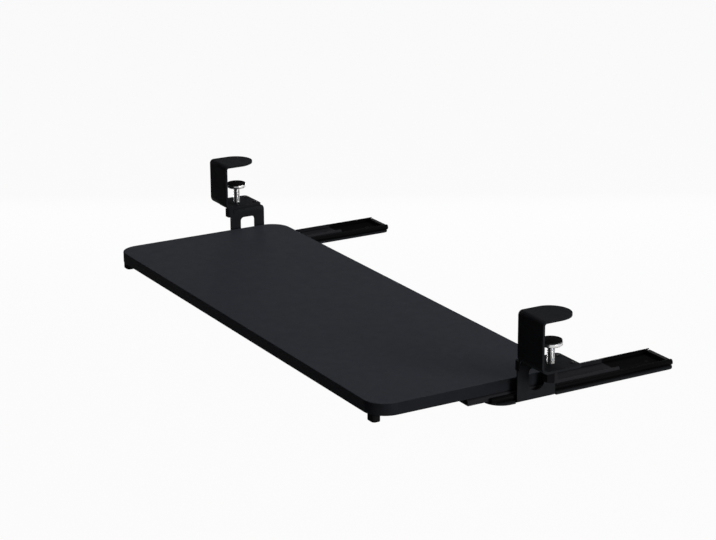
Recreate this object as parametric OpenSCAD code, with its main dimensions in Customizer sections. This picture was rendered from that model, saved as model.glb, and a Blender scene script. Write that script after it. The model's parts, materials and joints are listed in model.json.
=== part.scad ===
// Clamp-on pull-out tray: a flat board on two flat-lying ball slides, each hung from a screw clamp.
// The origin is on the top front edge of the panel that the clamps grip, midway between the clamps.
// +X runs to the user's right, +Y away from the user, +Z up. Sizes are in millimetres.
// The tray is drawn pulled out. Side pieces are drawn on the right and mirrored to the left.

/* [Tray] */
// Width of the tray, left to right
tray_w = 622; // [540:1:720]
// Depth of the tray, front to back
tray_d = 225; // [205:1:260]
// Thickness of the tray
tray_t = 12.7; // [10:0.1:18]
// Corner radius of the tray, seen from above
tray_corner_r = 25; // [10:1:40]
// Thickness of the band round the tray's edge
band_t = 1; // [0.5:0.1:2]
// How far the tray stands out in front of the gripped edge
tray_reach = 160; // [145:0.5:185]
// Drop from the top of the gripped panel to the top of the tray
tray_drop = 74.5; // [71:0.5:90]

/* [Clamp hook] */
// Width of the hook
hook_w = 44; // [40:1:60]
// Sheet thickness of the hook
hook_t = 2.5; // [2:0.1:3.5]
// Reach of the hook's tab over the gripped panel
hook_reach = 43.5; // [38:0.5:60]
// Outer radius of the bend from strip to tab
hook_bend_r = 5; // [4:0.5:8]
// Outer radius of the bend from strip to leg
foot_bend_r = 8; // [5:0.5:10]
// Drop from the top of the gripped panel to the hook's leg
leg_drop = 50.5; // [48:0.5:53]
// Gap between the hook and the line of the bracket's plate
hook_gap = 3.5; // [2:0.1:6]
// Corner radius at the rear of the leg and of the bracket's shelf
leg_r = 5; // [2:0.5:8]
// Thickness of the rubber pad under the tab
hook_pad_t = 1; // [0.5:0.1:2]
// Margin of the rubber pad inside the tab's edge
hook_pad_margin = 2; // [1:0.5:4]

/* [Bracket] */
// Sheet thickness of the bracket
sheet_t = 2; // [1.5:0.1:2.5]
// Distance from the gripped edge to the rear edge of the plate, the shelf and the leg
plate_d = 47.5; // [44:0.5:60]
// Distance from the gripped edge to the front edge of the plate
plate_set = 0.5; // [0:0.1:2]
// Distance from the gripped edge to the front edge of the shelf
shelf_set = 5.5; // [4:0.5:8]
// Inset of the shelf's outer edge from the edge of the leg that lies on it
shelf_inset = 5; // [0:0.5:6]
// Outer radius of the bend from plate to shelf
bend_r = 4; // [3:0.5:5]
// Outer radius of the fold from plate to flange and of the lip's bend
fold_r = 3; // [2.6:0.1:4]
// Width of the relief cuts beside the fold and the ear
relief_w = 1.5; // [1:0.1:3]
// Width of the plate's window
window_w = 19.5; // [12:0.5:24]
// Distance from the gripped edge to the window
window_back = 14.5; // [8:0.5:16]
// Height of plate left below the window
window_foot = 7.5; // [5:0.5:11]
// Height of plate left above the window
window_head = 8.5; // [6:0.5:12]
// Radius of the window's upper corners
window_r = 4.5; // [2:0.5:6]
// Width of the stiffening lip that is bent from the plate's front edge
lip_w = 8.5; // [6:0.5:12]
// Height of the lip
lip_h = 10.5; // [6:0.5:14]
// Gap between the lip and the hook's foot bend
lip_clear = 0.5; // [0.3:0.1:1]
// Gap between the slide and the bracket's plate
plate_gap = 2; // [0.5:0.1:4]
// Margin of the flange past the slide, on the tray's inner side
flange_margin = 2.5; // [1:0.5:8]
// Radius of the flange's outer front corner
flange_front_r = 20; // [8:1:24]
// Radius of the flange's other corners
flange_r = 8; // [3:1:15]

/* [Clamp screw] */
// Diameter of the clamp screw
screw_d = 8; // [7:0.1:9]
// Length of the clamp screw below its shoulder
screw_l = 38.5; // [32:0.5:45]
// Distance from the gripped edge to the clamp screw
screw_back = 23; // [17:0.5:27]
// Radial clearance of the screw in its nut
screw_clear = 0.05; // [0.02:0.01:0.1]
// Radial clearance of the screw in the leg and the shelf
hole_clear = 0.4; // [0.2:0.1:0.8]
// Width of the nut across its flats
nut_af = 13; // [12:0.5:16]
// Height of the long nut
nut_h = 15; // [8:0.5:18]
// Width of the key socket across its flats
socket_af = 4; // [3:0.5:5]
// Depth of the key socket
socket_h = 5; // [3:0.5:8]
// Diameter of the screw's pivot in the pad
pivot_d = 5.6; // [4:0.1:6.5]
// Height of the pivot
pivot_h = 2.5; // [1.5:0.1:3]
// End clearance over the pivot
pivot_clear = 0.2; // [0.1:0.1:0.4]
// Diameter of the clamp pad
pad_d = 24; // [18:1:30]
// Thickness of the clamp pad's metal
pad_t = 4; // [3.6:0.1:6]
// Thickness of the rubber on the clamp pad
pad_rubber_t = 1.5; // [0.8:0.1:3]
// Edge chamfer of the turned parts
chamfer = 0.6; // [0.2:0.1:0.8]
// Opening between the hook pad and the clamp pad
jaw = 25.5; // [20:0.5:31]

/* [Slides] */
// Width over the outer rail
rail_w = 45; // [43:0.5:52]
// Sheet thickness of the rails
rail_t = 1.2; // [1:0.1:1.4]
// Diameter of the balls between outer and middle rail
outer_ball_d = 3.9; // [3.6:0.1:4.2]
// Diameter of the balls between middle and inner rail
inner_ball_d = 3.5; // [3.2:0.1:3.8]
// Clearance between a ball and its races
ball_clear = 0.2; // [0.1:0.05:0.3]
// Clearance between a ball and its cage
pocket_clear = 0.05; // [0.02:0.01:0.1]
// Spacing of the balls along a row
ball_pitch = 10; // [6:0.5:11]
// Balls in a row of the outer cage
outer_ball_n = 9; // [5:1:10]
// Balls in a row of the inner cage
inner_ball_n = 6; // [4:1:7]
// Sheet thickness of the cages
cage_t = 0.5; // [0.3:0.1:0.7]
// Height of a cage's side strip above the middle of its balls
cage_rise = 1.2; // [0.8:0.1:1.4]
// Gap between a cage and the rails, above and below
cage_gap = 0.3; // [0.2:0.05:0.5]
// Gap between the middle rail's lips and the tray
lip_gap = 0.7; // [0.4:0.1:1.5]
// Bend radius of the inner rail
inner_bend_r = 2; // [1.5:0.1:3]
// Distance from the tray's side edge to the middle of the slide
slide_inset = 16; // [15:0.5:20]
// Lead of the outer rail's front end before the gripped edge
rail_lead = 27; // [22:0.5:34]
// Lead of the middle rail's front end before the outer rail's
middle_lead = 26; // [20:0.5:40]
// Length of the middle rail
middle_l = 190; // [170:1:230]
// Length of the inner rail
inner_l = 117; // [100:1:130]
// Distance from the tray's rear edge to the inner rail's rear end
inner_setback = 4; // [1:0.5:10]
// Travel from this pose until the tray is fully pulled out
pull_out = 60; // [40:1:70]

/* [Fasteners and stops] */
// Diameter of the rivets that join the hook's leg to the bracket's shelf
rivet_d = 4; // [3:0.1:5]
// Diameter of the rivets' heads
rivet_head_d = 7; // [5.5:0.1:7.5]
// Height of the rivets' heads
rivet_head_h = 1.2; // [0.8:0.1:2]
// Distance between the two rivets of a hook
rivet_span = 24; // [18:1:26]
// Distance from the leg's rear edge to the rivets
rivet_end = 5.5; // [4:0.5:7]
// Diameter of the screws that hold the outer rail
rail_screw_d = 4; // [3:0.1:5]
// Diameter of the heads of those screws
rail_head_d = 7.6; // [6.5:0.1:8]
// Screws along each rail
rail_screw_n = 3; // [2:1:4]
// Distance from a rail's end to its first screw
rail_screw_end = 18; // [16:1:25]
// Diameter of the wood screws
wood_screw_d = 3.5; // [3:0.1:4]
// Diameter of the wood screws' heads
wood_head_d = 7; // [6:0.1:8]
// Height of the wood screws' heads
wood_head_h = 2; // [1.2:0.1:2.4]
// Depth that the wood screws reach into the tray
wood_screw_in = 8; // [5:0.5:9]
// Radial clearance of rivets and screws in their holes
fit_clear = 0.05; // [0.02:0.01:0.2]
// Width of the cross recess in screw heads
recess_w = 1; // [0.6:0.1:1.4]
// Length of the cross recess in screw heads
recess_l = 3.6; // [2.5:0.1:4]
// Depth of the cross recess in screw heads
recess_h = 0.9; // [0.4:0.1:1]
// Width of the front bumper
bumper_w = 14; // [12:0.5:18]
// Depth of the front bumper, front to back
bumper_d = 10; // [9.5:0.5:14]
// Height of the front bumper
bumper_h = 8.3; // [6:0.1:8.8]
// Corner radius of the front bumper
bumper_r = 4; // [2:0.5:4.5]
// Distance from the tray's side edge to the middle of the bumper
bumper_inset = 18; // [16:0.5:24]
// Distance from the tray's front edge to the bumper
bumper_back = 3; // [2.5:0.5:8]
// Rubber under the head of the bumper's screw
bumper_seat = 4; // [2:0.5:5]
// Radial clearance round the head of the bumper's screw
head_clear = 0.3; // [0.1:0.1:0.8]
// Gap that is left at the end of a stroke
stop_gap = 1; // [0.5:0.1:2]
// Length of the rear stop along the rail
rear_stop_l = 5; // [3:0.5:10]
// Height of the rear stop over the outer rail's web
rear_stop_h = 4.4; // [3:0.1:5.5]
// Gap between the rear stop and the rail's side lips
rear_stop_gap = 1; // [0.5:0.1:2]
// Width of the stop tabs in the rails
tab_w = 12; // [8:0.5:16]
// Length of the stop tabs along the rail
tab_l = 3; // [1.5:0.1:5]
// Distance from a rail's front end to the stop tab of its cage
cage_lead = 9; // [6:0.5:10]

/* [Hidden] */
$fn = 64;
// A small overshoot, so that cuts pass right through a face
over = 1;

// Radii of what is turned
screw_r = screw_d / 2;
pivot_r = pivot_d / 2;
rivet_r = rivet_d / 2;
rail_screw_r = rail_screw_d / 2;
rail_head_r = rail_head_d / 2;
wood_screw_r = wood_screw_d / 2;
wood_head_r = wood_head_d / 2;
outer_ball_r = outer_ball_d / 2;
inner_ball_r = inner_ball_d / 2;

// Radii of the curved lips round the balls
outer_race_r = outer_ball_r + ball_clear + rail_t;
inner_race_r = inner_ball_r + ball_clear + rail_t;

// Cross-section of a slide, from its middle outwards and from the flange upwards
outer_ball_x = rail_w / 2 - outer_race_r;
middle_half = outer_ball_x - outer_ball_r - ball_clear;
inner_ball_x = middle_half - inner_race_r;
inner_half = inner_ball_x - inner_ball_r - ball_clear;
outer_ball_v = outer_race_r;
outer_cage_v = rail_t + cage_gap;
middle_v = outer_cage_v + cage_t + cage_gap;
inner_ball_v = middle_v + inner_race_r;
inner_cage_v = middle_v + rail_t + cage_gap;
inner_leg_v = inner_cage_v + cage_t + cage_gap;
slide_h = inner_ball_v + inner_race_r + lip_gap;

// Places across the tray
slide_x = tray_w / 2 - slide_inset;
plate_x = slide_x + rail_w / 2 + plate_gap;
plate_out = plate_x + sheet_t;
flange_in = slide_x - rail_w / 2 - flange_margin;
hook_in = plate_out + hook_gap;
hook_x = hook_in + hook_w / 2;
hook_out = hook_in + hook_w;
shelf_out = hook_out - shelf_inset;
bumper_x = tray_w / 2 - bumper_inset;
rivet_xs = [hook_x - rivet_span / 2, hook_x + rivet_span / 2];

// Heights
tray_top = -tray_drop;
tray_under = tray_top - tray_t;
flange_top = tray_under - slide_h;
flange_under = flange_top - sheet_t;
hook_top = hook_pad_t + hook_t;
leg_top = -leg_drop;
shelf_top = leg_top - hook_t;
shelf_under = shelf_top - sheet_t;
lip_bend_reach = foot_bend_r - sheet_t - lip_clear;
lip_top = shelf_top + foot_bend_r - sqrt(pow(foot_bend_r, 2) - pow(lip_bend_reach, 2));
pad_top = -jaw;
pad_under = pad_top - pad_rubber_t - pad_t;
window_low = flange_top + window_foot;
window_high = shelf_under - window_head;

// Places front to back
tray_front = -tray_reach;
tray_rear = tray_front + tray_d;
rail_front = -rail_lead;
middle_front = rail_front - middle_lead;
inner_front = tray_rear - inner_setback - inner_l;
bumper_front = tray_front + bumper_back;
pull_in = rail_front - bumper_front - bumper_d - stop_gap;
middle_rear_in = middle_front + middle_l + pull_in / 2;
rear_stop_front = middle_rear_in + stop_gap;
rail_l = rear_stop_front + rear_stop_l - rail_front;
hook_round_y = hook_reach - hook_w / 2;
rivet_y = plate_d - rivet_end;

// The cages roll at a quarter and at three quarters of the tray's speed
outer_cage_l = outer_ball_n * ball_pitch;
inner_cage_l = inner_ball_n * ball_pitch;
outer_cage_front = rail_front + cage_lead + tab_l + stop_gap + pull_out / 4;
inner_cage_front = middle_front + cage_lead + tab_l + stop_gap + pull_out / 4;

// Extrudes an outline drawn in X and Z along Y
module along_y(front, length) {
    translate([0, front + length, 0]) rotate([90, 0, 0]) linear_extrude(length) children();
}

// Extrudes an outline drawn in Y and Z along X
module along_x(start, length) {
    translate([start, 0, 0]) rotate([90, 0, 90]) linear_extrude(length) children();
}

// Carries a piece of the slide to the slide's place on the flange
module on_slide() {
    translate([slide_x, 0, flange_top]) children();
}

// Draws a right-hand piece on the left
module left() {
    mirror([1, 0, 0]) children();
}

// Rectangle from two opposite corners
module box2(low, high) {
    translate(low) square(high - low);
}

// Rectangle from two opposite corners, with round corners of radius r
module round_box2(low, high, r) {
    box2([low[0] + r, low[1]], [high[0] - r, high[1]]);
    box2([low[0], low[1] + r], [high[0], high[1] - r]);
    for (x = [low[0] + r, high[0] - r])
        for (y = [low[1] + r, high[1] - r])
            translate([x, y]) circle(r);
}

// Quarter of a ring about the origin, in the quadrant that the signs name
module bend2(outer_r, thick, sign_x, sign_y) {
    intersection() {
        difference() {
            circle(outer_r);
            circle(outer_r - thick);
        }
        box2([min(0, sign_x * outer_r), min(0, sign_y * outer_r)],
             [max(0, sign_x * outer_r), max(0, sign_y * outer_r)]);
    }
}

// Draws an outline on both sides of the middle
module both_sides() {
    for (side = [0, 1])
        mirror([side, 0]) children();
}

// Turned disc with a chamfer on both rims
module chamfered_disc(r, height) {
    cylinder(h = chamfer, r1 = r - chamfer, r2 = r);
    translate([0, 0, chamfer]) cylinder(h = height - 2 * chamfer, r = r);
    translate([0, 0, height - chamfer]) cylinder(h = chamfer, r1 = r, r2 = r - chamfer);
}

// Shallow dome on the plane z = 0
module dome(r, height) {
    ball_r = (r * r + height * height) / (2 * height);
    intersection() {
        translate([0, 0, height - ball_r]) sphere(ball_r);
        cylinder(h = height, r = r);
    }
}

// Cross recess that is cut upwards from the plane z = 0
module cross_recess() {
    for (turn = [0, 90])
        rotate([0, 0, turn])
            translate([-recess_l / 2, -recess_w / 2, -over]) cube([recess_l, recess_w, recess_h + over]);
}

// Wood screw that points upwards, with the seat of its head at z = 0
module wood_screw(under_head) {
    length = under_head + wood_screw_in;
    difference() {
        union() {
            rotate([180, 0, 0]) dome(wood_head_r, wood_head_h);
            cylinder(h = length - wood_screw_r, r = wood_screw_r);
            translate([0, 0, length - wood_screw_r]) cylinder(h = wood_screw_r, r1 = wood_screw_r, r2 = 0);
        }
        translate([0, 0, -wood_head_h]) cross_recess();
    }
}

// Pilot hole in the tray's underside for a wood screw
module pilot_hole() {
    r = wood_screw_r + fit_clear;
    translate([0, 0, -over]) cylinder(h = wood_screw_in - wood_screw_r + over, r = r);
    translate([0, 0, wood_screw_in - wood_screw_r]) cylinder(h = r, r1 = r, r2 = 0);
}

// Places of the screws along a rail
function screw_rows(front, length) = [
    for (i = [0 : rail_screw_n - 1])
        front + rail_screw_end + i * (length - 2 * rail_screw_end) / (rail_screw_n - 1)
];

// Places of the balls along a cage
function ball_rows(front, count) = [for (i = [0 : count - 1]) front + (i + 0.5) * ball_pitch];

// Flat board with round corners and the pilot holes of everything that hangs on it
module tray_board() {
    color("#2d2e33") difference() {
        translate([0, 0, tray_under])
            linear_extrude(tray_t)
                round_box2([-tray_w / 2 + band_t, tray_front + band_t],
                           [tray_w / 2 - band_t, tray_rear - band_t], tray_corner_r - band_t);
        for (side = [-1, 1]) {
            for (y = screw_rows(inner_front, inner_l))
                translate([side * slide_x, y, tray_under]) pilot_hole();
            translate([side * bumper_x, bumper_front + bumper_d / 2, tray_under]) pilot_hole();
        }
    }
}

// Band round the board's edge
module edge_band() {
    color("#151516") translate([0, 0, tray_under]) linear_extrude(tray_t) difference() {
        round_box2([-tray_w / 2, tray_front], [tray_w / 2, tray_rear], tray_corner_r);
        round_box2([-tray_w / 2 + band_t, tray_front + band_t],
                   [tray_w / 2 - band_t, tray_rear - band_t], tray_corner_r - band_t);
    }
}

// Side view of the hook: tab, strip and leg, joined by two bends
module hook_side() {
    tab_start = hook_bend_r - hook_t;
    leg_start = foot_bend_r - hook_t;
    box2([-hook_t, shelf_top + foot_bend_r], [0, hook_top - hook_bend_r]);
    box2([tab_start, hook_top - hook_t], [hook_reach, hook_top]);
    translate([tab_start, hook_top - hook_bend_r]) bend2(hook_bend_r, hook_t, -1, 1);
    box2([leg_start, shelf_top], [plate_d, leg_top]);
    translate([leg_start, shelf_top + foot_bend_r]) bend2(foot_bend_r, hook_t, -1, -1);
}

// Plan of the tab, with its half-round end
module tab_plan(margin) {
    box2([hook_in + margin, -hook_t], [hook_out - margin, hook_round_y]);
    translate([hook_x, hook_round_y]) circle(hook_w / 2 - margin);
}

// Plan of the leg, with round rear corners
module leg_plan() {
    round_box2([hook_in, -hook_t - leg_r], [hook_out, plate_d], leg_r);
}

// Holes through the leg and the shelf for the clamp screw and the rivets
module leg_holes() {
    bottom = shelf_under - over;
    height = leg_top - shelf_under + 2 * over;
    translate([hook_x, screw_back, bottom]) cylinder(h = height, r = screw_r + hole_clear);
    for (x = rivet_xs)
        translate([x, rivet_y, bottom]) cylinder(h = height, r = rivet_r + fit_clear);
}

// Bent strip that grips the panel: a tab over it, a strip before it and a leg below it
module hook() {
    leg_end = shelf_top + foot_bend_r;
    color("#26272a") difference() {
        intersection() {
            along_x(hook_in, hook_w) hook_side();
            union() {
                translate([0, 0, leg_end]) linear_extrude(hook_top - leg_end) tab_plan(0);
                translate([0, 0, shelf_top]) linear_extrude(foot_bend_r) leg_plan();
            }
        }
        leg_holes();
    }
}

// Rubber sheet under the tab
module hook_pad() {
    color("#1b1b1c") linear_extrude(hook_pad_t) intersection() {
        tab_plan(hook_pad_margin);
        box2([hook_in, hook_bend_r - hook_t], [hook_out, hook_reach]);
    }
}

// Rivets through the hook's leg and the bracket's shelf
module hook_rivets() {
    grip = leg_top - shelf_under;
    color("#2a2b2d") for (x = rivet_xs)
        translate([x, rivet_y, shelf_under]) {
            cylinder(h = grip, r = rivet_r);
            translate([0, 0, grip]) dome(rivet_head_d / 2, rivet_head_h);
            rotate([180, 0, 0]) dome(rivet_head_d / 2, rivet_head_h);
        }
}

// Front view of the plate with its bend into the shelf and its fold into the flange
module bracket_front() {
    box2([plate_x, flange_under + fold_r], [plate_out, shelf_top - bend_r]);
    box2([plate_x + bend_r, shelf_under], [shelf_out, shelf_top]);
    translate([plate_x + bend_r, shelf_top - bend_r]) bend2(bend_r, sheet_t, -1, 1);
    translate([plate_out - fold_r, flange_under + fold_r]) bend2(fold_r, sheet_t, 1, -1);
}

// Plan of the plate and of the shelf, which starts behind the hook's foot bend and has round outer corners
module shelf_plan() {
    box2([plate_x - fold_r, plate_set], [plate_out, plate_d]);
    round_box2([plate_x - fold_r - leg_r, shelf_set], [shelf_out, plate_d], leg_r);
}

// Room before the shelf, where the plate does not bend
module shelf_notch() {
    translate([plate_x - over, plate_set - over, shelf_top - bend_r])
        cube([sheet_t + 2 * over, shelf_set - plate_set + over, bend_r + over]);
}

// Side view of the ear, by which the plate rises before the shelf to carry the lip
module ear_side() {
    box2([plate_set, shelf_top - bend_r - over], [shelf_set - relief_w, lip_top]);
}

// Plan of the lip, which runs forward from the plate and bends outwards, flush with the hook strip
module lip_plan() {
    bend_end = fold_r - hook_t;
    box2([plate_x, bend_end], [plate_out, max(plate_set, bend_end) + over]);
    translate([plate_x + fold_r, bend_end]) bend2(fold_r, sheet_t, -1, -1);
    box2([plate_x + fold_r, -hook_t], [plate_x + lip_w, sheet_t - hook_t]);
}

// Plan of the flange under the slide, with a large round front corner and cuts beside the fold
module flange_plan() {
    rear = rail_front + rail_l;
    difference() {
        union() {
            round_box2([flange_in, rail_front], [plate_out, rear], flange_r);
            box2([plate_out - flange_front_r, rail_front], [plate_out, rail_front + flange_front_r]);
        }
        difference() {
            box2([plate_out - flange_front_r, rail_front - over],
                 [plate_out + over, rail_front + flange_front_r]);
            translate([plate_out - flange_front_r, rail_front + flange_front_r]) circle(flange_front_r);
        }
        box2([plate_out - fold_r, plate_set - relief_w], [plate_out + over, plate_d + relief_w]);
    }
}

// Window in the plate: a round foot and smaller round upper corners
module window_outline() {
    foot_r = window_w / 2;
    translate([window_back + foot_r, window_low + foot_r]) circle(foot_r);
    box2([window_back, window_low + foot_r], [window_back + window_w, window_high - window_r]);
    box2([window_back + window_r, window_low + foot_r], [window_back + window_w - window_r, window_high]);
    for (y = [window_back + window_r, window_back + window_w - window_r])
        translate([y, window_high - window_r]) circle(window_r);
}

// Folded sheet bracket: shelf above, windowed plate, and the long flange that carries the slide
module bracket() {
    color("#232427") difference() {
        union() {
            difference() {
                intersection() {
                    along_y(plate_set, plate_d - plate_set) bracket_front();
                    translate([0, 0, flange_under]) linear_extrude(shelf_top - flange_under) shelf_plan();
                }
                shelf_notch();
            }
            along_x(plate_x, sheet_t) ear_side();
            translate([0, 0, lip_top - lip_h]) linear_extrude(lip_h) lip_plan();
            translate([0, 0, flange_under]) linear_extrude(sheet_t) flange_plan();
        }
        along_x(plate_x - over, sheet_t + 2 * over) window_outline();
        leg_holes();
        for (y = screw_rows(rail_front, rail_l))
            translate([slide_x, y, flange_under]) {
                translate([0, 0, -over]) cylinder(h = sheet_t + 2 * over, r = rail_screw_r + fit_clear);
                rail_screw_head(fit_clear);
            }
    }
}

// Sunk head of a rail screw, widened by the given clearance
module rail_screw_head(extra) {
    cylinder(h = rail_head_r - rail_screw_r, r1 = rail_head_r + extra, r2 = rail_screw_r + extra);
}

// Flat-head screws that hold the outer rail on the flange
module outer_rail_screws() {
    color("#8d9094") for (y = screw_rows(rail_front, rail_l))
        translate([slide_x, y, flange_under]) difference() {
            union() {
                rail_screw_head(0);
                cylinder(h = sheet_t + rail_t, r = rail_screw_r);
            }
            cross_recess();
        }
}

// Long six-sided nut under the shelf, with chamfered corners
module clamp_nut() {
    corner_r = nut_af / sqrt(3);
    color("#2a2b2d") translate([hook_x, screw_back, shelf_under - nut_h]) difference() {
        intersection() {
            cylinder(h = nut_h, r = corner_r, $fn = 6);
            chamfered_disc(corner_r, nut_h);
        }
        translate([0, 0, -over]) cylinder(h = nut_h + 2 * over, r = screw_r + screw_clear);
    }
}

// Clamp screw with a key socket at its foot and a pivot at its top
module clamp_screw() {
    color("#c4c7cb") translate([hook_x, screw_back, pad_under - screw_l]) difference() {
        union() {
            chamfered_disc(screw_r, screw_l);
            translate([0, 0, screw_l - over]) cylinder(h = pivot_h + over, r = pivot_r);
        }
        translate([0, 0, -over]) cylinder(h = socket_h + over, r = socket_af / sqrt(3), $fn = 6);
    }
}

// Metal disc that turns on the screw's pivot
module clamp_pad() {
    color("#b4b7bb") translate([hook_x, screw_back, pad_under]) difference() {
        chamfered_disc(pad_d / 2, pad_t);
        translate([0, 0, -over])
            cylinder(h = pivot_h + pivot_clear + over, r = pivot_r + screw_clear);
    }
}

// Rubber face of the clamp pad
module pad_rubber() {
    color("#1b1b1c") translate([hook_x, screw_back, pad_top - pad_rubber_t])
        cylinder(h = pad_rubber_t, r = pad_d / 2 - chamfer);
}

// Outer rail: a web and two lips that curve over the outer balls
module outer_rail() {
    color("#1d1d1f") difference() {
        union() {
            on_slide() along_y(rail_front, rail_l) {
                box2([-outer_ball_x, 0], [outer_ball_x, rail_t]);
                both_sides() translate([outer_ball_x, outer_ball_v])
                    for (sign_y = [-1, 1])
                        bend2(outer_race_r, rail_t, 1, sign_y);
            }
            for (y = [rail_front, outer_cage_front - pull_out / 4 - stop_gap - tab_l])
                on_slide() translate([-tab_w / 2, y, rail_t / 2])
                    cube([tab_w, tab_l, middle_v - cage_gap - rail_t / 2]);
        }
        for (y = screw_rows(rail_front, rail_l))
            translate([slide_x, y, flange_top - over])
                cylinder(h = rail_t + 2 * over, r = rail_screw_r + fit_clear);
    }
}

// Moulded block that ends the middle rail's stroke
module rear_stop() {
    half = outer_ball_x - rear_stop_gap;
    color("#202022") on_slide() translate([-half, rear_stop_front, rail_t])
        cube([2 * half, rear_stop_l, rear_stop_h]);
}

// Middle rail: a web, upright sides and lips that curve over the inner balls
module middle_rail() {
    tab_front = inner_cage_front - pull_out / 4 - stop_gap - tab_l;
    color("#27282b") on_slide() {
        along_y(middle_front, middle_l) {
            box2([-middle_half, middle_v], [middle_half, middle_v + rail_t]);
            both_sides() {
                box2([middle_half - rail_t, middle_v], [middle_half, inner_ball_v]);
                translate([inner_ball_x, inner_ball_v]) bend2(inner_race_r, rail_t, 1, 1);
            }
        }
        translate([-tab_w / 2, tab_front, middle_v + rail_t / 2])
            cube([tab_w, tab_l, inner_leg_v - cage_gap - middle_v - rail_t / 2]);
    }
}

// Inner rail: a channel that opens downwards, screwed under the tray
module inner_rail() {
    color("#2b2c2f") difference() {
        on_slide() along_y(inner_front, inner_l) {
            box2([inner_bend_r - inner_half, slide_h - rail_t], [inner_half - inner_bend_r, slide_h]);
            both_sides() {
                box2([inner_half - rail_t, inner_leg_v], [inner_half, slide_h - inner_bend_r]);
                translate([inner_half - inner_bend_r, slide_h - inner_bend_r])
                    bend2(inner_bend_r, rail_t, 1, 1);
            }
        }
        for (y = screw_rows(inner_front, inner_l))
            translate([slide_x, y, tray_under - rail_t - over])
                cylinder(h = rail_t + 2 * over, r = wood_screw_r + fit_clear);
    }
}

// Screws that hold the inner rail under the tray
module inner_rail_screws() {
    color("#8d9094") for (y = screw_rows(inner_front, inner_l))
        translate([slide_x, y, tray_under - rail_t]) wood_screw(rail_t);
}

// Sheet cage with pockets for two rows of balls
module ball_cage(front, length, count, ball_x, ball_v, ball_r, web_v) {
    on_slide() difference() {
        along_y(front, length) difference() {
            box2([-ball_x - cage_t / 2, web_v], [ball_x + cage_t / 2, ball_v + cage_rise]);
            box2([cage_t / 2 - ball_x, web_v + cage_t], [ball_x - cage_t / 2, ball_v + cage_rise + over]);
        }
        for (y = ball_rows(front, count))
            for (side = [-1, 1])
                translate([side * ball_x, y, ball_v]) sphere(ball_r + pocket_clear);
    }
}

// Two rows of balls
module ball_pair(front, count, ball_x, ball_v, ball_r) {
    on_slide() for (y = ball_rows(front, count))
        for (side = [-1, 1])
            translate([side * ball_x, y, ball_v]) sphere(ball_r);
}

// Cage between outer and middle rail
module outer_cage() {
    color("#6f7276")
        ball_cage(outer_cage_front, outer_cage_l, outer_ball_n, outer_ball_x, outer_ball_v, outer_ball_r,
                  outer_cage_v);
}

// Balls between outer and middle rail
module outer_balls() {
    color("#d5d8dc") ball_pair(outer_cage_front, outer_ball_n, outer_ball_x, outer_ball_v, outer_ball_r);
}

// Cage between middle and inner rail
module inner_cage() {
    color("#6f7276")
        ball_cage(inner_cage_front, inner_cage_l, inner_ball_n, inner_ball_x, inner_ball_v, inner_ball_r,
                  inner_cage_v);
}

// Balls between middle and inner rail
module inner_balls() {
    color("#d5d8dc") ball_pair(inner_cage_front, inner_ball_n, inner_ball_x, inner_ball_v, inner_ball_r);
}

// Rubber bumper under the tray's front corner, which stops the tray against the outer rail
module front_bumper() {
    color("#1b1b1c") difference() {
        translate([0, 0, tray_under - bumper_h]) linear_extrude(bumper_h)
            round_box2([bumper_x - bumper_w / 2, bumper_front],
                       [bumper_x + bumper_w / 2, bumper_front + bumper_d], bumper_r);
        translate([bumper_x, bumper_front + bumper_d / 2, tray_under]) {
            translate([0, 0, -bumper_h - over])
                cylinder(h = bumper_h - bumper_seat + over, r = wood_head_r + head_clear);
            translate([0, 0, -bumper_h]) cylinder(h = bumper_h + over, r = wood_screw_r + fit_clear);
        }
    }
}

// Screw that holds the bumper
module bumper_screw() {
    color("#8d9094") translate([bumper_x, bumper_front + bumper_d / 2, tray_under - bumper_seat])
        wood_screw(bumper_seat);
}

tray_board();
edge_band();
left() hook();  // left_hook
left() hook_pad();  // left_hook_pad
left() hook_rivets();  // left_hook_rivets
left() bracket();  // left_bracket
left() clamp_nut();  // left_clamp_nut
left() clamp_screw();  // left_clamp_screw
left() clamp_pad();  // left_clamp_pad
left() pad_rubber();  // left_pad_rubber
left() outer_rail();  // left_outer_rail
left() outer_rail_screws();  // left_outer_rail_screws
left() rear_stop();  // left_rear_stop
left() outer_cage();  // left_outer_cage
left() outer_balls();  // left_outer_balls
left() middle_rail();  // left_middle_rail
left() inner_cage();  // left_inner_cage
left() inner_balls();  // left_inner_balls
left() inner_rail();  // left_inner_rail
left() inner_rail_screws();  // left_inner_rail_screws
left() front_bumper();  // left_front_bumper
left() bumper_screw();  // left_bumper_screw
hook();  // right_hook
hook_pad();  // right_hook_pad
hook_rivets();  // right_hook_rivets
bracket();  // right_bracket
clamp_nut();  // right_clamp_nut
clamp_screw();  // right_clamp_screw
clamp_pad();  // right_clamp_pad
pad_rubber();  // right_pad_rubber
outer_rail();  // right_outer_rail
outer_rail_screws();  // right_outer_rail_screws
rear_stop();  // right_rear_stop
outer_cage();  // right_outer_cage
outer_balls();  // right_outer_balls
middle_rail();  // right_middle_rail
inner_cage();  // right_inner_cage
inner_balls();  // right_inner_balls
inner_rail();  // right_inner_rail
inner_rail_screws();  // right_inner_rail_screws
front_bumper();  // right_front_bumper
bumper_screw();  // right_bumper_screw
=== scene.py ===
"""Looks of the clamp-on pull-out tray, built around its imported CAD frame."""

import json
import math

import bpy
from mathutils import Matrix, Vector


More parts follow.
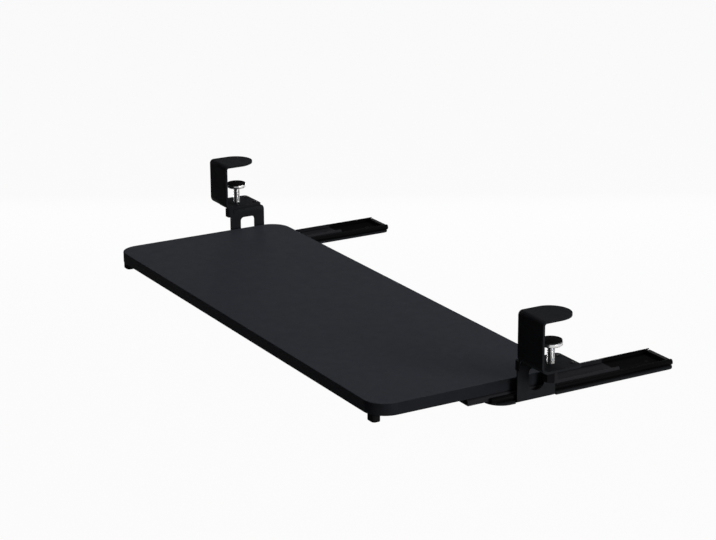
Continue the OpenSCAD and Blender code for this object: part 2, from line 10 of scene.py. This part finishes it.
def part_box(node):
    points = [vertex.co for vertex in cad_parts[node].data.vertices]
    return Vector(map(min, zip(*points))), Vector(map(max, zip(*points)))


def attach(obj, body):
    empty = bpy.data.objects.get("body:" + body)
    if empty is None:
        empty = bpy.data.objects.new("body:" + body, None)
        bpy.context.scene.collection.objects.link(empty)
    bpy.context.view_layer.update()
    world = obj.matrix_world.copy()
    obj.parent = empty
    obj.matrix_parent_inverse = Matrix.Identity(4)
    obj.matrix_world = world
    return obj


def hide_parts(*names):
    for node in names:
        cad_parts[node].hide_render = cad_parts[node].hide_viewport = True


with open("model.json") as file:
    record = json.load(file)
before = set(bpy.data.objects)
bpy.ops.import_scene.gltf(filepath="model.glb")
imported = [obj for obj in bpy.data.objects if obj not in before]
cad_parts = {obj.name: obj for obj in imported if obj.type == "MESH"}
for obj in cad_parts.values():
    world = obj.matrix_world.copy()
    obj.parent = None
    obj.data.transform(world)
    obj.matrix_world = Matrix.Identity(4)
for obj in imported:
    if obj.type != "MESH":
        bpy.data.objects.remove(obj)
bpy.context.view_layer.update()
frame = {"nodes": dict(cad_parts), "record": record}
nodes = frame["nodes"]
MM = 0.001
SIDES = ("left", "right")

# Camera, fitted to the tray's edges in the photograph's frame of 716 by 540 pixels
PHOTO_WIDTH_PX = 716
FOCAL_PX = 2184.45
SENSOR_WIDTH_MM = 36
CAMERA_PLACE = Vector((2.0407, -1.1773, 0.7054))
CAMERA_AZIMUTH_DEG = 60.02
CAMERA_ELEVATION_DEG = 17.63
CAMERA_ROLL_DEG = -0.33

# Stage: a pale round floor that curves up into a low wall
FLOOR_Z = -0.73
FLOOR_RADIUS = 7.0
WALL_BEND_RADIUS = 1.0
WALL_BEND_DEG = 90
WALL_BEND_STEPS = 12
WALL_TOP_Z = 1.6
STAGE_SEGMENTS = 96
FLOOR_COLOUR = (0.45, 0.45, 0.45, 1)
FLOOR_LIFT = 0.95

# Light: a dim even world and three softboxes
WORLD_COLOUR = (0.07, 0.07, 0.074, 1)
LAMPS = {
    "overhead": dict(place=(-0.4, 1.0, 2.4), target=(0, 0, 0), width=2.4, height=2.4, watts=58),
    "right_key": dict(place=(3.9, 1.2, 1.0), target=(0.1, 0, -0.07), width=1.8, height=1.8, watts=158),
    "low_rear_fill": dict(place=(-2.6, 1.5, -0.37), target=(0, 0, 1.6), width=2.4, height=0.5, watts=45),
}

# Values of a texture between which a finish goes from its first colour or roughness to its second
COLOUR_FROM = 0.3
COLOUR_TO = 0.7
ROUGHNESS_FROM = 0.25
ROUGHNESS_TO = 0.75

# Width of the broken edge of each kind of CAD node; nodes that are not named keep crisp edges
EDGE_BREAK = {
    "edge_band": 0.45 * MM,
    "hook": 0.35 * MM,
    "bracket": 0.3 * MM,
    "clamp_nut": 0.15 * MM,
    "clamp_pad": 0.15 * MM,
    "pad_rubber": 0.3 * MM,
    "hook_pad": 0.2 * MM,
    "outer_rail": 0.15 * MM,
    "middle_rail": 0.15 * MM,
    "inner_rail": 0.15 * MM,
    "rear_stop": 0.4 * MM,
    "front_bumper": 0.6 * MM,
}
EDGE_BREAK_SEGMENTS = 2
SHARP_ANGLE_DEG = 35
WELD_DISTANCE = 0.001 * MM

# Clamp screws, with a coarse metric M8 thread
THREAD_PITCH = 1.25 * MM
THREAD_DEPTH = 0.72 * MM
THREAD_CREST_SHARE = 0.14
THREAD_ROOT_SHARE = 0.26
ROWS_PER_PITCH = 14
SCREW_SEGMENTS = 72
SCREW_CREST_GAP = 0.02 * MM
SCREW_END_CHAMFER = 0.9 * MM
SOCKET_ACROSS_FLATS = 4 * MM
SOCKET_DEPTH = 5 * MM
SOCKET_CHAMFER = 0.25 * MM
PIVOT_RADIUS = 2.8 * MM
PIVOT_HEIGHT = 2.5 * MM
PIVOT_CHAMFER = 0.3 * MM


# Meshes

def add_mesh(name, points, faces):
    """New smooth mesh object from points in metres and faces."""
    mesh = bpy.data.meshes.new(name)
    mesh.from_pydata(points, [], faces)
    mesh.validate()
    mesh.polygons.foreach_set("use_smooth", [True] * len(mesh.polygons))
    made = bpy.data.objects.new(name, mesh)
    bpy.context.scene.collection.objects.link(made)
    return made


def ring_faces(first, second, count):
    """Quads between two rings of points, given the index of each ring's first point."""
    return [
        (first + i, first + (i + 1) % count, second + (i + 1) % count, second + i)
        for i in range(count)
    ]


def turned(rings, segments, middle):
    """Points and faces of a form that is turned about an upright line, with its first ring closed.

    Each ring is a function that gives a radius and a height for an angle.
    """
    points = []
    faces = []
    for ring in rings:
        for i in range(segments):
            angle = math.tau * i / segments
            radius, height = ring(angle)
            x = middle.x + radius * math.cos(angle)
            y = middle.y + radius * math.sin(angle)
            points.append((x, y, height))
    for row in range(len(rings) - 1):
        faces += ring_faces(row * segments, (row + 1) * segments, segments)
    faces.append(tuple(reversed(range(segments))))
    return points, faces


# Camera, stage and light

def add_camera():
    """Camera at the photograph's place, angle and framing."""
    data = bpy.data.cameras.new("photo_camera")
    data.sensor_width = SENSOR_WIDTH_MM
    data.lens = FOCAL_PX / PHOTO_WIDTH_PX * SENSOR_WIDTH_MM
    azimuth = math.radians(CAMERA_AZIMUTH_DEG)
    elevation = math.radians(CAMERA_ELEVATION_DEG)
    roll = math.radians(CAMERA_ROLL_DEG)
    level = math.cos(elevation)
    back = Vector((math.sin(azimuth) * level, -math.cos(azimuth) * level, math.sin(elevation)))
    right = Vector((0, 0, 1)).cross(back).normalized()
    up = back.cross(right)
    rolled_right = right * math.cos(roll) + up * math.sin(roll)
    rolled_up = up * math.cos(roll) - right * math.sin(roll)
    turn = Matrix((rolled_right, rolled_up, back)).transposed().to_4x4()
    camera = bpy.data.objects.new("photo_camera", data)
    camera.matrix_world = Matrix.Translation(CAMERA_PLACE) @ turn
    bpy.context.scene.collection.objects.link(camera)
    bpy.context.scene.camera = camera


def add_stage():
    """Pale floor whose rim curves up into a low wall."""
    profile = [(FLOOR_RADIUS, FLOOR_Z)]
    for step in range(1, WALL_BEND_STEPS + 1):
        angle = math.radians(WALL_BEND_DEG * step / WALL_BEND_STEPS)
        profile.append((
            FLOOR_RADIUS + WALL_BEND_RADIUS * math.sin(angle),
            FLOOR_Z + WALL_BEND_RADIUS * (1 - math.cos(angle)),
        ))
    profile.append((FLOOR_RADIUS + WALL_BEND_RADIUS, WALL_TOP_Z))
    rings = [lambda angle, place=place: place for place in profile]
    points, faces = turned(rings, STAGE_SEGMENTS, Vector((0, 0, 0)))
    floor = add_mesh("floor", points, faces)
    floor.data.materials.append(floor_material())


def floor_material():
    """Pale matte floor, lifted towards white where it is seen directly or by way of a piece."""
    made = bpy.data.materials.new("pale_floor")
    made.use_nodes = True
    tree = made.node_tree
    tree.nodes.clear()
    path = tree.nodes.new("ShaderNodeLightPath")
    camera_or_glossy = tree.nodes.new("ShaderNodeMath")
    camera_or_glossy.operation = "MAXIMUM"
    seen = tree.nodes.new("ShaderNodeMath")
    seen.operation = "MAXIMUM"
    lift = tree.nodes.new("ShaderNodeMath")
    lift.operation = "MULTIPLY"
    lift.inputs[1].default_value = FLOOR_LIFT
    matte = tree.nodes.new("ShaderNodeBsdfDiffuse")
    matte.inputs["Color"].default_value = FLOOR_COLOUR
    glow = tree.nodes.new("ShaderNodeEmission")
    glow.inputs["Strength"].default_value = 1.0
    mix = tree.nodes.new("ShaderNodeMixShader")
    output = tree.nodes.new("ShaderNodeOutputMaterial")
    link = tree.links.new
    link(path.outputs["Is Camera Ray"], camera_or_glossy.inputs[0])
    link(path.outputs["Is Glossy Ray"], camera_or_glossy.inputs[1])
    link(camera_or_glossy.outputs[0], seen.inputs[0])
    link(path.outputs["Is Transmission Ray"], seen.inputs[1])
    link(seen.outputs[0], lift.inputs[0])
    link(lift.outputs[0], mix.inputs["Fac"])
    link(matte.outputs[0], mix.inputs[1])
    link(glow.outputs[0], mix.inputs[2])
    link(mix.outputs[0], output.inputs["Surface"])
    return made


def add_softbox(name, place, target, width, height, watts):
    """Rectangular lamp that faces a target."""
    data = bpy.data.lights.new(name, "AREA")
    data.shape = "RECTANGLE"
    data.size = width
    data.size_y = height
    data.energy = watts
    lamp = bpy.data.objects.new(name, data)
    aim = (Vector(target) - Vector(place)).to_track_quat("-Z", "Y").to_matrix().to_4x4()
    lamp.matrix_world = Matrix.Translation(place) @ aim
    bpy.context.scene.collection.objects.link(lamp)


def add_light():
    """Soft studio light: a dim even world and the softboxes."""
    world = bpy.data.worlds.new("studio")
    world.use_nodes = True
    background = world.node_tree.nodes["Background"]
    background.inputs["Color"].default_value = WORLD_COLOUR
    background.inputs["Strength"].default_value = 1.0
    bpy.context.scene.world = world
    for name, lamp in LAMPS.items():
        add_softbox(name, **lamp)


# Materials

def linear(red, green, blue):
    """Linear colour with alpha from an sRGB colour in steps of 255, by the sRGB standard's own curve."""
    def channel(value):
        share = value / 255
        return share / 12.92 if share <= 0.04045 else ((share + 0.055) / 1.055) ** 2.4
    return (channel(red), channel(green), channel(blue), 1.0)


class Finish:
    """A Principled material whose colour, roughness and bump vary over the surface."""

    def __init__(self, name, metallic=0.0, specular=0.5):
        self.material = bpy.data.materials.new(name)
        self.material.use_nodes = True
        self.tree = self.material.node_tree
        self.shader = self.tree.nodes["Principled BSDF"]
        self.shader.inputs["Metallic"].default_value = metallic
        self.shader.inputs["Specular IOR Level"].default_value = specular
        self.place = self.tree.nodes.new("ShaderNodeTexCoord").outputs["Object"]
        self.bump_normal = None

    def texture(self, kind, grains):
        """Texture node of a kind, with the size of its grains in metres along each axis."""
        mapping = self.tree.nodes.new("ShaderNodeMapping")
        mapping.inputs["Scale"].default_value = [1 / grain for grain in grains]
        made = self.tree.nodes.new(kind)
        made.inputs["Scale"].default_value = 1.0
        self.tree.links.new(self.place, mapping.inputs["Vector"])
        self.tree.links.new(mapping.outputs[0], made.inputs["Vector"])
        return made

    def noise(self, grain, detail=2.0, stretch=(1, 1, 1)):
        """Noise with grains of that size in metres, drawn out along the axes by stretch."""
        made = self.texture("ShaderNodeTexNoise", [grain * factor for factor in stretch])
        made.inputs["Detail"].default_value = detail
        return made.outputs["Fac"]

    def cells(self, grain):
        """Rounded cells of that size in metres, as in a coat that has flowed into fine beads."""
        made = self.texture("ShaderNodeTexVoronoi", [grain] * 3)
        made.feature = "SMOOTH_F1"
        return made.outputs["Distance"]

    def colour(self, fac, dark, light):
        """Base colour between two colours."""
        ramp = self.tree.nodes.new("ShaderNodeValToRGB")
        first, second = ramp.color_ramp.elements
        first.position = COLOUR_FROM
        first.color = dark
        second.position = COLOUR_TO
        second.color = light
        self.tree.links.new(fac, ramp.inputs["Fac"])
        self.tree.links.new(ramp.outputs["Color"], self.shader.inputs["Base Color"])

    def roughness(self, fac, low, high):
        """Roughness between two values."""
        span = self.tree.nodes.new("ShaderNodeMapRange")
        span.inputs["From Min"].default_value = ROUGHNESS_FROM
        span.inputs["From Max"].default_value = ROUGHNESS_TO
        span.inputs["To Min"].default_value = low
        span.inputs["To Max"].default_value = high
        self.tree.links.new(fac, span.inputs["Value"])
        self.tree.links.new(span.outputs["Result"], self.shader.inputs["Roughness"])

    def bump(self, fac, height, strength):
        """Relief of that height in metres, added to any relief given before."""
        node = self.tree.nodes.new("ShaderNodeBump")
        node.inputs["Distance"].default_value = height
        node.inputs["Strength"].default_value = strength
        self.tree.links.new(fac, node.inputs["Height"])
        if self.bump_normal is not None:
            self.tree.links.new(self.bump_normal, node.inputs["Normal"])
        self.bump_normal = node.outputs["Normal"]
        self.tree.links.new(self.bump_normal, self.shader.inputs["Normal"])


def laminate():
    """Black satin laminate with a fine pebbled emboss."""
    made = Finish("laminate", specular=0.01)
    mottle = made.noise(grain=9 * MM, detail=4)
    made.colour(mottle, dark=linear(41, 43, 48), light=linear(43, 45, 50))
    made.roughness(made.noise(grain=14 * MM, detail=4), low=0.44, high=0.52)
    made.bump(made.cells(grain=0.9 * MM), height=0.06 * MM, strength=0.35)
    made.bump(made.noise(grain=0.25 * MM), height=0.02 * MM, strength=0.3)
    return made.material


def edge_band():
    """Black plastic band with faint lines along the edge from its extrusion."""
    made = Finish("edge_band", specular=0.004)
    lines = made.noise(grain=0.35 * MM, detail=3, stretch=(60, 60, 1))
    mottle = made.noise(grain=25 * MM, detail=3)
    made.colour(mottle, dark=linear(26, 27, 30), light=linear(29, 30, 33))
    made.roughness(lines, low=0.42, high=0.55)
    made.bump(lines, height=0.02 * MM, strength=0.4)
    return made.material


def powder_coat():
    """Black powder coat that has flowed into fine beads."""
    made = Finish("powder_coat", specular=0.004)
    mottle = made.noise(grain=9 * MM, detail=5)
    made.colour(mottle, dark=linear(27, 28, 30), light=linear(30, 31, 33))
    made.roughness(made.noise(grain=5 * MM, detail=4), low=0.45, high=0.56)
    made.bump(made.cells(grain=0.7 * MM), height=0.08 * MM, strength=0.45)
    made.bump(made.noise(grain=2.4 * MM, detail=3), height=0.05 * MM, strength=0.25)
    return made.material


def rolled_steel(name, specular, dark, light):
    """Coated steel with lines along the rail from its rolling."""
    made = Finish(name, specular=specular)
    lines = made.noise(grain=0.5 * MM, detail=4, stretch=(1, 120, 1))
    mottle = made.noise(grain=12 * MM, detail=4, stretch=(1, 5, 1))
    made.colour(mottle, dark, light)
    made.roughness(lines, low=0.36, high=0.5)
    made.bump(lines, height=0.02 * MM, strength=0.4)
    return made.material


def rail_steel():
    """Black dipped steel of the outer and inner rails, coloured darker than the steel alone as painted
    shade of the desk and clamps above them.
    """
    # These colours are darker than the dipped steel's own: they paint the shade that the desk and the
    # clamps cast on the rails.
    return rolled_steel("rail_steel", specular=0.008, dark=linear(7, 7, 8), light=linear(10, 10, 11))


def middle_steel():
    """Grey-black coated steel of the middle rails."""
    return rolled_steel("middle_steel", specular=0.01, dark=linear(29, 29, 32), light=linear(34, 34, 37))


def black_rivet():
    """Blackened steel of the rivets, the long nuts and the outer rails' screws."""
    made = Finish("black_rivet", specular=0.01)
    mottle = made.noise(grain=1.2 * MM, detail=4)
    made.colour(mottle, dark=linear(17, 17, 19), light=linear(21, 21, 23))
    made.roughness(made.noise(grain=0.8 * MM, detail=3), low=0.34, high=0.5)
    made.bump(made.noise(grain=0.3 * MM), height=0.01 * MM, strength=0.3)
    return made.material


def zinc():
    """Bright zinc plate with a faint cool and warm mottle."""
    made = Finish("zinc", metallic=1.0)
    mottle = made.noise(grain=2.2 * MM, detail=4)
    made.colour(mottle, dark=linear(196, 200, 206), light=linear(214, 212, 204))
    made.roughness(made.noise(grain=0.9 * MM, detail=4), low=0.2, high=0.36)
    made.bump(made.noise(grain=0.25 * MM, detail=3), height=0.008 * MM, strength=0.25)
    return made.material


def cage_steel():
    """Plated strip, brushed along the rail."""
    made = Finish("cage_steel", metallic=1.0)
    lines = made.noise(grain=0.15 * MM, detail=4, stretch=(1, 80, 1))
    mottle = made.noise(grain=4 * MM, detail=4)
    made.colour(mottle, dark=linear(160, 161, 164), light=linear(182, 183, 185))
    made.roughness(lines, low=0.26, high=0.42)
    made.bump(lines, height=0.006 * MM, strength=0.3)
    return made.material


def ball_steel():
    """Polished bearing steel under a film of grease."""
    made = Finish("ball_steel", metallic=1.0)
    mottle = made.noise(grain=1.5 * MM, detail=3)
    made.colour(mottle, dark=linear(205, 208, 212), light=linear(222, 224, 227))
    made.roughness(made.noise(grain=1.0 * MM, detail=3), low=0.06, high=0.16)
    return made.material


def stop_plastic():
    """Moulded nylon with a spark-eroded grain."""
    made = Finish("stop_plastic", specular=0.06)
    mottle = made.noise(grain=3 * MM, detail=4)
    made.colour(mottle, dark=linear(24, 24, 25), light=linear(30, 30, 31))
    made.roughness(made.noise(grain=1.2 * MM, detail=4), low=0.5, high=0.62)
    made.bump(made.noise(grain=0.35 * MM, detail=3), height=0.03 * MM, strength=0.4)
    return made.material


def rubber():
    """Matte rubber with a dusty bloom."""
    made = Finish("rubber", specular=0.008)
    mottle = made.noise(grain=6 * MM, detail=5)
    made.colour(mottle, dark=linear(19, 19, 20), light=linear(26, 26, 27))
    made.roughness(made.noise(grain=2 * MM, detail=4), low=0.7, high=0.85)
    made.bump(made.noise(grain=0.5 * MM, detail=4), height=0.04 * MM, strength=0.5)
    return made.material


MAKERS = {
    "laminate": laminate,
    "edge_band": edge_band,
    "powder_coat": powder_coat,
    "rail_steel": rail_steel,
    "middle_steel": middle_steel,
    "black_rivet": black_rivet,
    "zinc": zinc,
    "cage_steel": cage_steel,
    "ball_steel": ball_steel,
    "stop_plastic": stop_plastic,
    "rubber": rubber,
}


# CAD nodes

def kind_of(node):
    """Name of a node without its side."""
    side, _, rest = node.partition("_")
    return rest if side in SIDES else node


def break_edges(node):
    """Rounds the sharp edges of a CAD node with modifiers."""
    width = EDGE_BREAK.get(kind_of(node))
    if width is None:
        return
    weld = nodes[node].modifiers.new("weld", "WELD")
    weld.merge_threshold = WELD_DISTANCE
    bevel = nodes[node].modifiers.new("edge_break", "BEVEL")
    bevel.width = width
    bevel.segments = EDGE_BREAK_SEGMENTS
    bevel.limit_method = "ANGLE"
    bevel.angle_limit = math.radians(SHARP_ANGLE_DEG)
    bevel.harden_normals = True


def finish_nodes(materials):
    """Gives every CAD node the finish of its slot and its broken edges."""
    for part in frame["record"]["subparts"]:
        node = nodes[part["node"]]
        node.data.materials.clear()
        node.data.materials.append(materials[part["material_slot"]])
        break_edges(part["node"])


# Clamp screws

def thread_cut(phase):
    """Depth of the thread below its crest, as a share, at a phase of one turn from 0 to 1."""
    away = abs((phase % 1.0) - 0.5) * 2
    crest = THREAD_CREST_SHARE
    root = 1 - THREAD_ROOT_SHARE
    return min(1.0, max(0.0, (away - crest) / (root - crest)))


def screw_rings(low, high, radius):
    """Rings up the screw: key socket, threaded shank and pivot.

    Each ring is a function that gives a radius and a height for an angle.
    """
    shoulder = high - PIVOT_HEIGHT
    flat = SOCKET_ACROSS_FLATS / 2
    sixth_turn = math.tau / 6

    def six_sided(angle):
        from_flat = (angle + sixth_turn / 2) % sixth_turn - sixth_turn / 2
        return flat / math.cos(from_flat)

    def threaded(angle, height):
        cut = THREAD_DEPTH * thread_cut(height / THREAD_PITCH - angle / math.tau)
        from_end = min(height - low, shoulder - height)
        chamfer = max(0.0, SCREW_END_CHAMFER - from_end)
        return radius - max(cut, chamfer)

    rings = [
        lambda angle: (six_sided(angle), low + SOCKET_DEPTH),
        lambda angle: (six_sided(angle), low + SOCKET_CHAMFER),
        lambda angle: (six_sided(angle) + SOCKET_CHAMFER, low),
    ]
    rows = math.ceil((shoulder - low) / THREAD_PITCH * ROWS_PER_PITCH)
    for row in range(rows + 1):
        height = low + (shoulder - low) * row / rows
        rings.append(lambda angle, height=height: (threaded(angle, height), height))
    rings += [
        lambda angle: (PIVOT_RADIUS, shoulder),
        lambda angle: (PIVOT_RADIUS, high - PIVOT_CHAMFER),
        lambda angle: (PIVOT_RADIUS - PIVOT_CHAMFER, high),
    ]
    return rings


def add_clamp_screw(side, materials):
    """Clamp screw with a cut thread and a key socket, in place of the plain CAD screw."""
    node = f"{side}_clamp_screw"
    low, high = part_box(node)
    radius = (high.x - low.x) / 2 - SCREW_CREST_GAP
    rings = screw_rings(low.z, high.z, radius)
    points, faces = turned(rings, SCREW_SEGMENTS, (low + high) / 2)
    faces.append(tuple(range(len(points) - SCREW_SEGMENTS, len(points))))
    screw = add_mesh(f"{side}_threaded_screw", points, faces)
    screw.data.materials.append(materials["zinc"])
    screw.data.set_sharp_from_angle(angle=math.radians(SHARP_ANGLE_DEG))
    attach(screw, f"{side}_screw")
    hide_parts(node)


bpy.context.scene.view_settings.view_transform = "Standard"
add_camera()
add_stage()
add_light()
finishes = {slot: make() for slot, make in MAKERS.items()}
finish_nodes(finishes)
for clamp_side in SIDES:
    add_clamp_screw(clamp_side, finishes)
